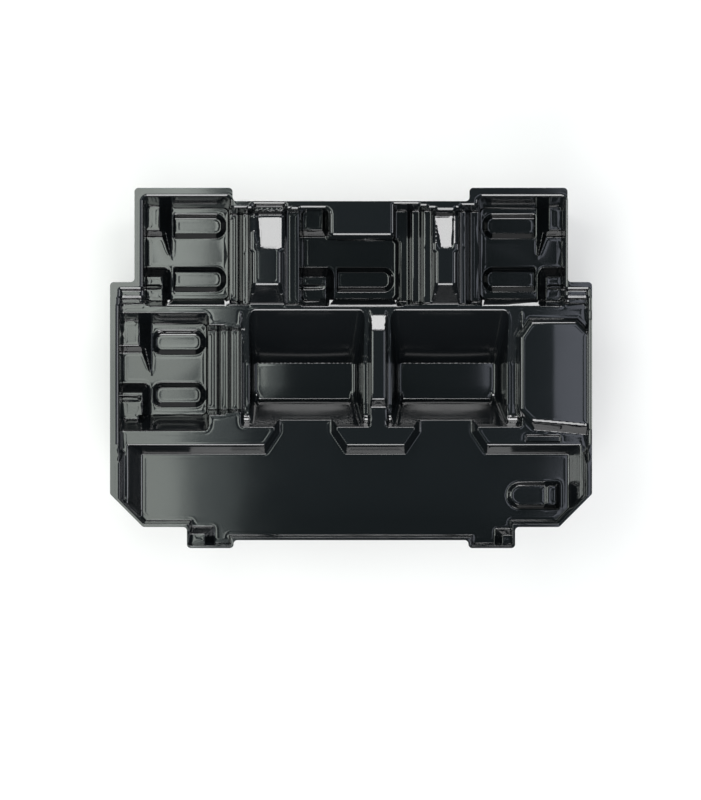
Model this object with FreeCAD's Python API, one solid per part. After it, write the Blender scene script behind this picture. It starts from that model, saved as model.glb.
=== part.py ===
"""Thermoformed tray: one sheet of plastic drawn into a field of moulded pockets.

The sheet is the skin of a field of basins.  Every basin, step and boss is a drafted
solid that can be offset by the sheet thickness, so the skin has an even wall.
X runs along the long side, Y to the back and Z up; the origin is under the middle.
"""
import FreeCAD, Part
import math
import os

V = FreeCAD.Vector

# ---- sheet and levels (mm) ----
SHEET = 1.0               # wall of the formed sheet
RIM_Z = 69.0              # top of the flange above the lowest underside
BLOCK_Z = 66.0            # plateau at the right
LEDGE_HIGH_Z = 63.0       # small steps from the flange to the ridges
LEDGE_LOW_Z = 57.0
BACK_LEDGE_Z = 60.0       # ledge behind the left rib
MIDDLE_RIB_Z = 57.5       # rib between the cradles
SADDLE_Z = 53.5           # finger saddles behind the ribs
RIDGE_Z = 50.0            # ridges round the cradles
TERRACE_Z = 45.0          # terrace beside the middle bay's rail strip
SHOULDER_Z = 40.0         # shoulders beside the cradles
BENCH_Z = 38.0            # long bench at the front
BAY_FLOOR_Z = 4.0         # floor of the four bays
CRADLE_FLOOR_Z = 1.0      # floor of the two cradles

# ---- trimmed edge ----
TRAY_LENGTH = 376.0
TRAY_DEPTH = 281.0
EAR_INSET = 19.1          # outer side of the rear ears from the tray's side
EAR_LENGTH = 76.5
EAR_DEPTH = 10.4          # how far the ears stand out behind
EAR_FRONT_Y = 67.0        # where the sides step out
CORNER_CUT = 25.7         # chamfer at the front corners
TAB_INSET = 60.0          # outer side of the front tabs from the tray's side
TAB_LENGTH = 36.4
TAB_DROP = 16.4           # tab beyond the side front edge
FRONT_DROP = 10.2         # middle front edge beyond the side front edge
TRIM_RADIUS = 3.0
FLANGE_LEFT = 8.6         # flange beside the well
FLANGE_RIGHT = 4.0

# ---- bays ----
BAY_LENGTH = 63.8
BAY_WIDTH = 70.6
FRONT_BAY_EXTRA = 2.2     # the front bay is this much longer
MIDDLE_BAY_LENGTH = 72.9
REAR_ROW_Y = 54.2         # front of the rear row at the bay floors
FRONT_ROW_Y = -36.2       # front of the front bay
BAY_A_INSET = 28.5        # rail strip walls from the tray's side
BAY_C_INSET = 23.4
BAY_D_INSET = 9.4
BAY_B_END_X = -37.0       # rail strip wall of the middle bay
REAR_CLIMB = 18.9         # plan length of each flight of steps
MIDDLE_CLIMB = 29.6
FRONT_CLIMB = 27.2
REAR_RISE_COUNT = 3
FRONT_RISE_COUNT = 4
SET_BACK_A = 4.5          # from a bay's back edge to the back edge of its steps
SET_BACK_B = 2.0
SET_BACK_C = 2.5
SET_BACK_D = 4.7
STEP_SET_BACK = 3.5       # same at the front of the front bay
MIDDLE_LAP = 2.0          # how far the middle bay's treads reach back into it
STRIP = 19.0              # length of the rail strip at a bay's end
PAD_RISE = 14.0           # rail pads above the bay floor
PAD_WIDTH = 17.2
PAD_LENGTH = 10.0
FRONT_PAD_EXTRA = 2.5     # the front pad is this much longer
GROOVE_DEPTH = 3.0
GROOVE_WIDTH = 12.0
GROOVE_SPACING = 42.0
GROOVE_START = 2.5        # from the rail strip
GROOVE_END = 6.0          # from the foot of the steps
GROOVE_R = 4.0
TONGUE_FRONT_Y = 100.2    # front of the deck tongue that stands in the middle bay
TONGUE_LEFT = 17.5        # its left side, from the rail strip's wall
TONGUE_SET_BACK = 2.0
TERRACE_LEFT = 13.7       # far edge of the terrace, from the rail strip's wall
TERRACE_SET_BACK = 2.5

# ---- ribs and saddles behind the deck ----
RIB_LAP = 3.0             # saddles run this far into the steps beside them
SADDLE_FRONT_Y = 117.4
SADDLE_LEFT_Y = 121.7     # back of each saddle
SADDLE_RIGHT_Y = 120.5
BACK_LEDGE_Y = 126.4
BACK_LEDGE_LENGTH = 22.0
LEDGE_HIGH_Y = 60.4       # back of the small steps
LEDGE_LOW_Y = 53.6
LEDGE_LEFT_INSET = 9.0    # from the tray's side
LEDGE_LEFT_LENGTH = 14.0
LEDGE_RIGHT_INSET = 4.0
LEDGE_RIGHT_LENGTH = 13.6
MIDDLE_RIB_X = 21.45
MIDDLE_RIB_WIDTH = 10.9
MIDDLE_RIB_FRONT_Y = -24.2
MIDDLE_RIB_BACK_Y = 29.6

# ---- cradles ----
CRADLE_LEFT_X = -77.8
CRADLE_LEFT_LENGTH = 82.3
CRADLE_RIGHT_X = 35.3
CRADLE_RIGHT_LENGTH = 79.6
CRADLE_BACK_Y = 3.9       # crease at the foot of the back slope
CRADLE_FRONT_Y = -25.0
CRADLE_FRONT_R = 12.0
CRADLE_SIDE_R = 5.0
SHOULDER_FRONT_Y = -26.5
SHOULDER_LEFT_X = -84.2
SHOULDER_LEFT_LENGTH = 97.5
SHOULDER_RIGHT_X = 28.9
SHOULDER_RIGHT_LENGTH = 102.9

# ---- well, bench and passages ----
WELL_BACK_Y = 50.0        # back edge of the well, at the height of the ridges


WELL_FRONT = 1.5          # well floor in front of the bench's back edge
WELL_R = 3.0
RAMP_DEPTH = 5.5          # foot of the ramp before each rib
BENCH_BACK_Y = -67.1
BENCH_SIDE = 4.8          # bench floor from the trimmed edge, by side
BENCH_FRONT = 3.6
BENCH_TAB = 3.3
BENCH_RIGHT = 7.8
BENCH_LEFT = 12.5
PASSAGE_LEFT_X = -55.5
PASSAGE_LEFT_WIDTH = 40.0
PASSAGE_RIGHT_X = 53.8
PASSAGE_RIGHT_WIDTH = 40.6
PASSAGE_FLARE = 12.5
PASSAGE_FRONT_Y = -68.6
PASSAGE_NECK_Y = -49.9
PASSAGE_BACK_Y = -34.3

# ---- islands ----
BLOCK_FRONT_Y = -41.3     # plateau at the right
BLOCK_BACK_Y = 36.7
BLOCK_LEFT = 56.2         # its left side from the tray's side
BLOCK_CORNER_X = 8.6      # bevels of its left corners
BLOCK_CORNER_BACK = 12.5
BLOCK_CORNER_FRONT = 8.8
BLOCK_CHAMFER = 18.0      # bevel of its back right corner
BLOCK_SKEW = 4.7          # its front edge slants back to the left
BLOCK_EDGE_R = 2.0
TROUGH_INSET = 25.0       # trough before the plateau, from the tray's side
TROUGH_LENGTH = 26.0
TROUGH_FRONT_Y = -57.7
TROUGH_WIDTH = 4.7
TROUGH_DEPTH = 2.0
RAMP_LEFT = 13.3          # tops of the bench's side ramps from the tray's side
RAMP_RIGHT = 8.6
TAB_BOSS_Z = 50.0         # bosses beside the front tabs
TAB_BOSS_LEFT = 14.1      # their inner sides from the outer sides of the tabs
TAB_BOSS_RIGHT = 10.2
TAB_BOSS_BACK_LEFT = 11.0
TAB_BOSS_BACK_RIGHT = 10.2
STADIUM_INSET = 28.1      # raised stadium on the bench from the tray's side
STADIUM_LENGTH = 35.1
STADIUM_WIDTH = 14.9
STADIUM_FRONT_Y = -106.9
STADIUM_RISE = 3.0
STADIUM_R = 6.0
BUTTON_LENGTH = 6.7       # block at its right end
BUTTON_RISE = 5.5
BUTTON_R = 2.0

# ---- drafts, as run per rise, and radii ----
STEEP = 0.035
DRAFT = 0.10
STEP_DRAFT = 0.15
SADDLE_RUN = 1.6
RAMP_RUN = 0.84
CRADLE_BACK_RUN = 0.849
CRADLE_FRONT_RUN = 0.42
SHOULDER_FRONT_RUN = 1.95
SHOULDER_BACK_RUN = 4.2
GROOVE_RUN = 1.2
PASSAGE_RUN = 0.36
CORNER_R = 4.0            # upright corners
FLOOR_R = 2.5             # floor edges
STEP_R = 1.5              # foot of a riser

TOOL_TOP = 6.0            # cutters run this far past the flange
REACH = 0.5               # overlap of cutters that join

SIDE = TRAY_LENGTH / 2
BACK = TRAY_DEPTH / 2


# ---- drafted solids ----
def offset_outline(points, distances):
    """Move every edge of a counter-clockwise outline outward by its own distance."""
    count = len(points)
    lines = []
    for i in range(count):
        ax, ay = points[i]
        bx, by = points[(i + 1) % count]
        length = math.hypot(bx - ax, by - ay)
        nx, ny = (by - ay) / length, (ax - bx) / length
        lines.append((nx, ny, nx * ax + ny * ay + distances[i]))
    moved = []
    for i in range(count):
        ax, ay, ac = lines[i - 1]
        bx, by, bc = lines[i]
        det = ax * by - ay * bx
        moved.append(((ac * by - bc * ay) / det, (ax * bc - bx * ac) / det))
    return moved


def frustum(low, z_low, high, z_high):
    """Solid between two outlines whose edges are parallel."""
    bottom = [V(x, y, z_low) for x, y in low]
    top = [V(x, y, z_high) for x, y in high]
    count = len(low)
    faces = [Part.Face(Part.makePolygon(bottom[::-1] + bottom[-1:]))]
    faces.append(Part.Face(Part.makePolygon(top + top[:1])))
    for i in range(count):
        j = (i + 1) % count
        side = [bottom[i], bottom[j], top[j], top[i], bottom[i]]
        faces.append(Part.Face(Part.makePolygon(side)))
    shell = Part.Shell(faces)
    shell.sewShape()
    return Part.Solid(shell)


def slanted_edges(solid):
    """Edges that run from the lower to the upper outline."""
    found = []
    for edge in solid.Edges:
        first, last = edge.Vertexes[0].Z, edge.Vertexes[-1].Z
        if abs(first - last) > 0.01:
            found.append(edge)
    return found


def level_edges(solid, z):
    """Edges that lie in one level plane."""
    return [e for e in solid.Edges if all(abs(v.Z - z) < 1e-4 for v in e.Vertexes)]


def spread(value, count):
    """One value for every edge, given as a number or as a list."""
    return list(value) if isinstance(value, (list, tuple)) else [value] * count


def basin(points, z, runs, grow, corner=CORNER_R, floor=FLOOR_R, top=None):
    """Drafted cavity: outline of its floor at z, walls that open upward."""
    runs = spread(runs, len(points))
    z_top = RIM_Z + TOOL_TOP if top is None else top
    wall = [grow * (math.hypot(1, k) - k) for k in runs]
    low = offset_outline(points, wall)
    z_low = z - grow
    high = offset_outline(low, [k * (z_top - z_low) for k in runs])
    solid = frustum(low, z_low, high, z_top)
    if corner:
        solid = solid.makeFillet(corner + grow, slanted_edges(solid))
    if floor and not grow:
        edges = level_edges(solid, z_low)
        if not corner:
            edges = [e for e in edges if e.BoundBox.YLength > e.BoundBox.XLength]
        solid = solid.makeFillet(floor, edges)
    return solid


def boss(points, z, z_foot, runs, grow, corner=0.0, edge=0.0):
    """Drafted island: outline of its top at z, walls that spread downward."""
    runs = spread(runs, len(points))
    wall = [-grow * (math.hypot(1, k) - k) for k in runs]
    high = offset_outline(points, wall)
    z_high = z - grow
    z_low = z_foot - grow
    low = offset_outline(high, [k * (z_high - z_low) for k in runs])
    solid = frustum(low, z_low, high, z_high)
    if corner > grow:
        solid = solid.makeFillet(corner - grow, slanted_edges(solid))
    if edge > grow:
        solid = solid.makeFillet(edge - grow, level_edges(solid, z_high))
    return solid


def box_outline(x0, x1, y0, y1):
    """Counter-clockwise rectangle: front, right, back, left edges."""
    return [(x0, y0), (x1, y0), (x1, y1), (x0, y1)]


# ---- bays ----
class Bay:
    """A bay: where it lies and how its stepped side climbs."""

    def __init__(self, x_end, side, y_front, length, climb, rises, land_z, set_back,
                 lap=STRIP):
        self.x_end = x_end          # wall at the rail strip
        self.side = side            # +1 when the steps are on the right
        self.y_front = y_front
        self.length = length
        self.climb = climb          # plan length of the steps
        self.rises = rises
        self.land_z = land_z
        self.set_back = set_back    # from the bay's back edge to the steps' back edge
        self.lap = lap              # how far the treads reach back into the bay

    @property
    def y_back(self):
        """Back edge of the floor."""
        return self.y_front + BAY_WIDTH

    @property
    def x_land(self):
        """Top edge of the steps."""
        return self.x_end + self.side * (self.length + self.climb)

    def front_at(self, z):
        """Front edge of a tread, whose wall meets the ridge at the edge of the well."""
        if self.land_z <= RIDGE_Z:
            return self.y_front + STEP_SET_BACK
        return WELL_BACK_Y - REACH + DRAFT * max(RIDGE_Z - z, 0.0)

    def outline(self, d0, d1, y0, y1):
        """Rectangle by its distances from the rail strip's wall."""
        a = self.x_end + self.side * d0
        b = self.x_end + self.side * d1
        return box_outline(min(a, b), max(a, b), y0, y1)

    def runs(self, front, far, back, near):
        """Wall runs in the order of box_outline, whichever way the bay faces."""
        if self.side > 0:
            return [front, far, back, near]
        return [front, near, back, far]


BAY_A = Bay(BAY_A_INSET - SIDE, 1, REAR_ROW_Y, BAY_LENGTH, REAR_CLIMB, REAR_RISE_COUNT, RIM_Z,
            SET_BACK_A)
BAY_B = Bay(BAY_B_END_X, 1, REAR_ROW_Y, MIDDLE_BAY_LENGTH, MIDDLE_CLIMB, FRONT_RISE_COUNT,
            RIM_Z, SET_BACK_B, MIDDLE_LAP)
BAY_C = Bay(SIDE - BAY_C_INSET, -1, REAR_ROW_Y, BAY_LENGTH, REAR_CLIMB, REAR_RISE_COUNT, RIM_Z,
            SET_BACK_C)
BAY_D = Bay(BAY_D_INSET - SIDE, 1, FRONT_ROW_Y, BAY_LENGTH + FRONT_BAY_EXTRA, FRONT_CLIMB,
            FRONT_RISE_COUNT, RIDGE_Z, SET_BACK_D)


def bay_steps(bay, grow):
    """Treads of the stepped side, each a shallower cavity that reaches further."""
    rise = (bay.land_z - BAY_FLOOR_Z) / bay.rises
    riser = STEP_DRAFT * rise
    tread = (bay.climb - bay.rises * riser) / (bay.rises - 1)
    steps = []
    for k in range(1, bay.rises):
        far = bay.length + k * (riser + tread)
        z = BAY_FLOOR_Z + k * rise
        points = bay.outline(bay.length - bay.lap, far, bay.front_at(z),
                             bay.y_back - bay.set_back)
        runs = bay.runs(DRAFT, STEP_DRAFT, DRAFT, 0.0)
        steps.append(basin(points, z, runs, grow, corner=0, floor=STEP_R))
    return steps


def bay_grooves(bay, grow, sides=(-1, 1)):
    """Round-ended grooves in the floor."""
    grooves = []
    middle = bay.y_front + BAY_WIDTH / 2
    for side in sides:
        y = middle + side * GROOVE_SPACING / 2
        points = bay.outline(STRIP + GROOVE_START, bay.length - GROOVE_END,
                             y - GROOVE_WIDTH / 2, y + GROOVE_WIDTH / 2)
        z = BAY_FLOOR_Z - GROOVE_DEPTH
        grooves.append(basin(points, z, GROOVE_RUN, grow, 0 if grow else GROOVE_R, 0,
                             top=BAY_FLOOR_Z + REACH))
    return grooves


def bay_pads(bay, grow, back_runs=(0.35, 0.65), front_runs=(0.4, 0.5)):
    """Raised rail pads at the two corners of the strip."""
    z = BAY_FLOOR_Z + PAD_RISE
    z_foot = BAY_FLOOR_Z - REACH
    y_back, y_front = bay.y_back, bay.y_front
    back = bay.outline(-STRIP, PAD_LENGTH, y_back - PAD_WIDTH, y_back + STRIP)
    front = bay.outline(-STRIP, PAD_LENGTH + FRONT_PAD_EXTRA, y_front - STRIP,
                        y_front + PAD_WIDTH)
    pads = [boss(back, z, z_foot, bay.runs(*back_runs, 0.0, 0.0), grow)]
    pads.append(boss(front, z, z_foot, bay.runs(0.0, *front_runs, 0.0), grow))
    return pads


def bay_cavity(bay, grow, far=0.025, back=0.135, front=0.125):
    """One whole bay."""
    points = bay.outline(0.0, bay.length, bay.y_front, bay.y_back)
    cavity = basin(points, BAY_FLOOR_Z, bay.runs(front, far, back, STEEP), grow)
    cavity = cavity.cut(bay_pads(bay, grow))
    return cavity.fuse(bay_steps(bay, grow) + bay_grooves(bay, grow))


def tongue_bay(grow, front=0.125, near=0.085, beside=0.04, terrace_end=0.16):
    """The middle bay, whose back half is taken up by a tongue of the deck."""
    bay = BAY_B
    floor = bay.outline(0.0, bay.length, bay.y_front, TONGUE_FRONT_Y)
    cavity = basin(floor, BAY_FLOOR_Z, bay.runs(front, STEP_DRAFT, beside, near), grow)
    corner = bay.outline(0.0, TONGUE_LEFT, bay.y_front, bay.y_back - TONGUE_SET_BACK)
    rear = basin(corner, BAY_FLOOR_Z, bay.runs(front, beside, beside / 2, near), grow)
    terrace = bay.outline(-TERRACE_LEFT, STRIP / 2, bay.front_at(TERRACE_Z),
                          bay.y_back - TERRACE_SET_BACK)
    shelf_runs = bay.runs(DRAFT, 0.0, beside, terrace_end)
    shelf = basin(terrace, TERRACE_Z, shelf_runs, grow, 0, STEP_R)
    cavity = cavity.fuse(rear).cut(bay_pads(bay, grow))
    return cavity.fuse([shelf] + bay_steps(bay, grow) + bay_grooves(bay, grow, sides=(-1,)))


# ---- cradles ----
def runs_along_side(edge):
    """True for the edges where a cradle's side walls meet its floor, slope and front."""
    box = edge.BoundBox
    return box.YLength > 0.5 and box.XLength < 0.3 * box.YLength + 0.5 and box.ZMin < RIM_Z


def cradle(x, length, left, right, grow):
    """Cradle with a long back slope and a rounded front."""
    points = box_outline(x, x + length, CRADLE_FRONT_Y, CRADLE_BACK_Y)
    runs = [CRADLE_FRONT_RUN, right, CRADLE_BACK_RUN, left]
    solid = basin(points, CRADLE_FLOOR_Z, runs, grow, corner=0, floor=0)
    front = [e for e in level_edges(solid, CRADLE_FLOOR_Z - grow) if e.BoundBox.YMax < 0
             and e.BoundBox.XLength > 1]
    solid = solid.makeFillet(CRADLE_FRONT_R + grow, front)
    if grow:
        return solid
    return solid.makeFillet(CRADLE_SIDE_R, [e for e in solid.Edges if runs_along_side(e)])


def shoulders(x, length, grow):
    """Shallow seat that carries on from a cradle to both sides."""
    points = box_outline(x, x + length, SHOULDER_FRONT_Y, CRADLE_BACK_Y)
    runs = [SHOULDER_FRONT_RUN, STEP_DRAFT, SHOULDER_BACK_RUN, STEP_DRAFT]
    return basin(points, SHOULDER_Z, runs, grow, 0, 0, top=RIDGE_Z + REACH)


def passage(x, width, grow):
    """Mouth that joins a cradle to the bench, flared toward the bench."""
    far = x + width
    points = [(x - PASSAGE_FLARE, PASSAGE_FRONT_Y), (far + PASSAGE_FLARE, PASSAGE_FRONT_Y),
              (far, PASSAGE_NECK_Y), (far, PASSAGE_BACK_Y), (x, PASSAGE_BACK_Y),
              (x, PASSAGE_NECK_Y)]
    side = PASSAGE_RUN
    return basin(points, BENCH_Z, [0, side, side, 0, side, side], grow, 0, 0,
                 top=RIDGE_Z + REACH)


# ---- well and bench ----
def well(grow):
    """Everything above the ridges, from the rear bays to the bench."""
    x0 = FLANGE_LEFT - SIDE
    x1 = SIDE - FLANGE_RIGHT
    points = box_outline(x0, x1, BENCH_BACK_Y + WELL_FRONT, WELL_BACK_Y)
    return basin(points, RIDGE_Z, [0.5, 0.04, 0.05, 0.07], grow, corner=WELL_R, floor=0)


def bench(grow):
    """The long bench, which follows the trimmed edge."""
    front = [p for p in trim_outline() if p[1] < BENCH_BACK_Y]
    points = front[6:] + front[:6] + [(SIDE, BENCH_BACK_Y), (-SIDE, BENCH_BACK_Y)]
    corner, tab = [BENCH_SIDE] * 2, [BENCH_TAB] * 3
    inset = corner + tab + [BENCH_FRONT] + tab + corner + [BENCH_RIGHT, 0.0, BENCH_LEFT]
    floor = offset_outline(points, [-d for d in inset])
    corner_run, tab_run = [0.07] * 2, [0.03] * 3
    runs = corner_run + tab_run + [0.04] + tab_run + corner_run + [DRAFT, 0.58, STEP_DRAFT]
    return basin(floor, BENCH_Z, runs, grow, corner=0, floor=0)


# ---- ribs ----
def saddle(x0, x1, y_back, grow):
    """Low saddle behind a rib, with a slope that climbs forward to the rib's top."""
    points = box_outline(x0, x1, SADDLE_FRONT_Y, y_back)
    return basin(points, SADDLE_Z, [SADDLE_RUN, 0, STEP_DRAFT, 0], grow, 0, 0)


def rib_ramp(x0, x1, grow):
    """Slope from a rib's top down to the ridge."""
    points = box_outline(x0, x1, WELL_BACK_Y - RAMP_DEPTH, WELL_BACK_Y - REACH)
    return basin(points, RIDGE_Z, [0, 0, RAMP_RUN, 0], grow, 0, 0)


def ribs(grow):
    """Saddles and ramps that leave a rib standing between two bays."""
    spans = [(BAY_A.x_land, BAY_B_END_X - TERRACE_LEFT, SADDLE_LEFT_Y),
             (BAY_B.x_land, BAY_C.x_land, SADDLE_RIGHT_Y)]
    cuts = []
    for left, right, y_back in spans:
        cuts.append(saddle(left - RIB_LAP, right + RIB_LAP, y_back, grow))
        cuts.append(rib_ramp(left - RIB_LAP, right + RIB_LAP, grow))
    middle = (spans[0][0] + spans[0][1]) / 2
    half = BACK_LEDGE_LENGTH / 2
    points = box_outline(middle - half, middle + half, SADDLE_FRONT_Y, BACK_LEDGE_Y)
    cuts.append(basin(points, BACK_LEDGE_Z, [0, DRAFT, STEP_DRAFT, DRAFT], grow, 0, 0))
    return cuts


def ledges(x, length, grow):
    """Two steps from the flange down to the ridge."""
    steps = []
    for z, y in ((LEDGE_HIGH_Z, LEDGE_HIGH_Y), (LEDGE_LOW_Z, LEDGE_LOW_Y)):
        points = box_outline(x, x + length, WELL_BACK_Y - RAMP_DEPTH, y)
        steps.append(basin(points, z, [0, DRAFT, DRAFT, DRAFT], grow, 0, 0))
    return steps


# ---- islands ----
def plateau(grow):
    """High block at the right, which runs into the flange."""
    left = SIDE - BLOCK_LEFT
    past = SIDE + TOOL_TOP
    points = [(left + BLOCK_CORNER_X, BLOCK_FRONT_Y), (past, BLOCK_FRONT_Y - BLOCK_SKEW),
              (past, BLOCK_BACK_Y - BLOCK_CHAMFER), (past - BLOCK_CHAMFER, BLOCK_BACK_Y),
              (left + BLOCK_CORNER_X, BLOCK_BACK_Y), (left, BLOCK_BACK_Y - BLOCK_CORNER_BACK),
              (left, BLOCK_FRONT_Y + BLOCK_CORNER_FRONT)]
    runs = [0.4, 0.0, DRAFT, DRAFT, DRAFT, DRAFT, STEP_DRAFT]
    return boss(points, BLOCK_Z, BENCH_Z, runs, grow, 0, BLOCK_EDGE_R)


def bench_islands(grow):
    """Side ramps, the bosses beside the front tabs and the raised stadium."""
    foot = BENCH_Z - REACH
    past_x, past_y = SIDE + TOOL_TOP, BACK + TOOL_TOP
    tab_out, tab_top = SIDE - TAB_INSET, TAB_DROP - BACK
    side_y = BENCH_BACK_Y + RAMP_LEFT
    left = box_outline(-past_x, RAMP_LEFT - SIDE, -past_y, side_y)
    right = box_outline(SIDE - RAMP_RIGHT, past_x, -past_y, side_y)
    found = [boss(left, RIDGE_Z, foot, [0, 0.95, 0, 0], grow)]
    found.append(boss(right, RIDGE_Z, foot, [0, 0, 0, 0.8], grow))
    tab_left = box_outline(-tab_out - TOOL_TOP, TAB_BOSS_LEFT - tab_out, -past_y,
                           TAB_BOSS_BACK_LEFT - BACK)
    tab_right = box_outline(tab_out - TAB_BOSS_RIGHT, tab_out + TOOL_TOP, -past_y,
                            TAB_BOSS_BACK_RIGHT - BACK)
    found.append(boss(tab_left, TAB_BOSS_Z, foot, [0, 0.58, 0.5, 0], grow))
    found.append(boss(tab_right, TAB_BOSS_Z, foot, [0, 0, 0.4, 0.45], grow))
    x1 = SIDE - STADIUM_INSET
    y0, y1 = STADIUM_FRONT_Y, STADIUM_FRONT_Y + STADIUM_WIDTH
    stadium = box_outline(x1 - STADIUM_LENGTH, x1, y0, y1)
    found.append(boss(stadium, BENCH_Z + STADIUM_RISE, foot, 1.0, grow, STADIUM_R))
    button = box_outline(x1 - BUTTON_LENGTH, x1, y0, y1)
    found.append(boss(button, BENCH_Z + BUTTON_RISE, foot, 0.6, grow, BUTTON_R))
    return found


def middle_rib(grow):
    """Rib on the ridge between the two cradles."""
    half = MIDDLE_RIB_WIDTH / 2
    points = box_outline(MIDDLE_RIB_X - half, MIDDLE_RIB_X + half, MIDDLE_RIB_FRONT_Y,
                         MIDDLE_RIB_BACK_Y)
    runs = [2.13, STEP_DRAFT, 1.56, STEP_DRAFT]
    return boss(points, MIDDLE_RIB_Z, RIDGE_Z - REACH, runs, grow)


def trough(grow):
    """Narrow trough on the ridge before the plateau."""
    x0 = SIDE - TROUGH_INSET - TROUGH_LENGTH
    points = box_outline(x0, x0 + TROUGH_LENGTH, TROUGH_FRONT_Y,
                         TROUGH_FRONT_Y + TROUGH_WIDTH)
    return basin(points, RIDGE_Z - TROUGH_DEPTH, STEP_DRAFT, grow, 0, 0, top=RIDGE_Z + REACH)


# ---- the whole tray ----
def whole(grow):
    """All the cavities, offset outward by grow."""
    low = [cradle(CRADLE_LEFT_X, CRADLE_LEFT_LENGTH, 0.03, 0.125, grow)]
    low.append(cradle(CRADLE_RIGHT_X, CRADLE_RIGHT_LENGTH, 0.085, 0.17, grow))
    low.append(shoulders(SHOULDER_LEFT_X, SHOULDER_LEFT_LENGTH, grow))
    low.append(shoulders(SHOULDER_RIGHT_X, SHOULDER_RIGHT_LENGTH, grow))
    low += [bench(grow), trough(grow)]
    low.append(passage(PASSAGE_LEFT_X, PASSAGE_LEFT_WIDTH, grow))
    low.append(passage(PASSAGE_RIGHT_X, PASSAGE_RIGHT_WIDTH, grow))
    low = well(grow).fuse(low)
    low = low.cut([plateau(grow), middle_rib(grow)] + bench_islands(grow))
    tools = [bay_cavity(BAY_A, grow), tongue_bay(grow), bay_cavity(BAY_C, grow)]
    tools.append(bay_cavity(BAY_D, grow, back=0.187, front=0.28))
    tools += ribs(grow)
    tools += ledges(LEDGE_LEFT_INSET - SIDE, LEDGE_LEFT_LENGTH, grow)
    tools += ledges(SIDE - LEDGE_RIGHT_INSET - LEDGE_RIGHT_LENGTH, LEDGE_RIGHT_LENGTH, grow)
    return low.fuse(tools)


def trim_outline():
    """Edge that the sheet is trimmed to, counter-clockwise from the front right tab."""
    side_front = TAB_DROP - BACK
    mid_front = side_front - FRONT_DROP
    tab_out, ear_out = SIDE - TAB_INSET, SIDE - EAR_INSET
    half = [
        (tab_out - TAB_LENGTH, mid_front),
        (tab_out - TAB_LENGTH, -BACK),
        (tab_out, -BACK),
        (tab_out, side_front),
        (SIDE - CORNER_CUT, side_front),
        (SIDE, side_front + CORNER_CUT),
        (SIDE, EAR_FRONT_Y),
        (ear_out, EAR_FRONT_Y),
        (ear_out, BACK),
        (ear_out - EAR_LENGTH, BACK),
        (ear_out - EAR_LENGTH, BACK - EAR_DEPTH),
    ]
    return half + [(-x, y) for x, y in reversed(half)]


def trim_block(z0, z1):
    """The trimmed edge carried straight up."""
    points = [V(x, y, z0) for x, y in trim_outline()]
    face = Part.Face(Part.makePolygon(points + points[:1]))
    block = face.extrude(V(0, 0, z1 - z0))
    return block.makeFillet(TRIM_RADIUS, slanted_edges(block))


def tray():
    """The formed and trimmed sheet."""
    skin = whole(SHEET).fuse(trim_block(RIM_Z - SHEET, RIM_Z))
    skin = skin.common(trim_block(-REACH, RIM_Z))
    return skin.cut(whole(0.0)).removeSplitter()


os.makedirs("parts", exist_ok=True)
tray().exportStep("parts/tray.step")
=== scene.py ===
"""Looks of a thermoformed case tray: one glossy black sheet with a field of moulded pockets.

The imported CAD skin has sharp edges.  Here the sheet is draped over it again as a fine net,
its rims and feet are rounded the way a hot sheet rounds over a mould, and the net gets the
sheet's even wall.  All sizes are in millimetres until a mesh is written, and then in metres.
"""
import logging
import math
from dataclasses import dataclass
from enum import Enum

import bmesh
import bpy
import numpy as np
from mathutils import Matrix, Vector


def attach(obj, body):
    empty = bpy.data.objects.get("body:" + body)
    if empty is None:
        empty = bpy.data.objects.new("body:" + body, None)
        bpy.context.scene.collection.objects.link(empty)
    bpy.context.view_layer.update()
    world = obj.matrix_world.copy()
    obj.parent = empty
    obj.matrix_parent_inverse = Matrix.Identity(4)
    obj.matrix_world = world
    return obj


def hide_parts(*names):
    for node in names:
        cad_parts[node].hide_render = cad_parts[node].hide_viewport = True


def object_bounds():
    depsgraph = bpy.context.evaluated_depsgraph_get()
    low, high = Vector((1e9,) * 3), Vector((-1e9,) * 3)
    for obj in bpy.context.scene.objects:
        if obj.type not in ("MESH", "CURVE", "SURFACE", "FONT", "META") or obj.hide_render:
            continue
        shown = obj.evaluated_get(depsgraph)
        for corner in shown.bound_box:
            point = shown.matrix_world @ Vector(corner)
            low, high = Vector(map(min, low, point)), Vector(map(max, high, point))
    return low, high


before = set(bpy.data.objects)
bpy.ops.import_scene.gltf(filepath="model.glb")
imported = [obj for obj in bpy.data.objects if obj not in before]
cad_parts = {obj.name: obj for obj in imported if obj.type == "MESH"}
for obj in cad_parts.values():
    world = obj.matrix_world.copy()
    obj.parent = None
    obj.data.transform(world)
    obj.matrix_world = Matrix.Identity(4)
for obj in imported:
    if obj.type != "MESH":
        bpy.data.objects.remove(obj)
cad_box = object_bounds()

logging.basicConfig(level=logging.INFO, format="%(name)s: %(message)s")
log = logging.getLogger("tray")

MM = 0.001


def linear(hex_colour: str) -> tuple[float, float, float, float]:
    """Turn an sRGB hex value to linear light.

    Args:
        hex_colour: Colour as "#rrggbb".

    Returns:
        Red, green, blue and an alpha of 1, as Blender's sockets take them.
    """
    values = []
    for start in (1, 3, 5):
        c = int(hex_colour[start:start + 2], 16) / 255
        values.append(c / 12.92 if c <= 0.04045 else ((c + 0.055) / 1.055) ** 2.4)
    return (*values, 1.0)


def add_node(tree: bpy.types.NodeTree, kind: str, links: dict | None = None,
             **settings: object) -> bpy.types.Node:
    """Add one node with its settings and links.

    Args:
        tree: The tree that gets the node.
        kind: Blender's name of the node's type.
        links: Input name or index to an output socket or to a plain value.
        settings: Properties of the node itself.

    Returns:
        The new node.
    """
    node = tree.nodes.new(kind)
    for name, value in settings.items():
        setattr(node, name, value)
    for key, value in (links or {}).items():
        socket = node.inputs[key]
        if isinstance(value, bpy.types.NodeSocket):
            tree.links.new(value, socket)
        else:
            socket.default_value = value
    return node


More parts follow.
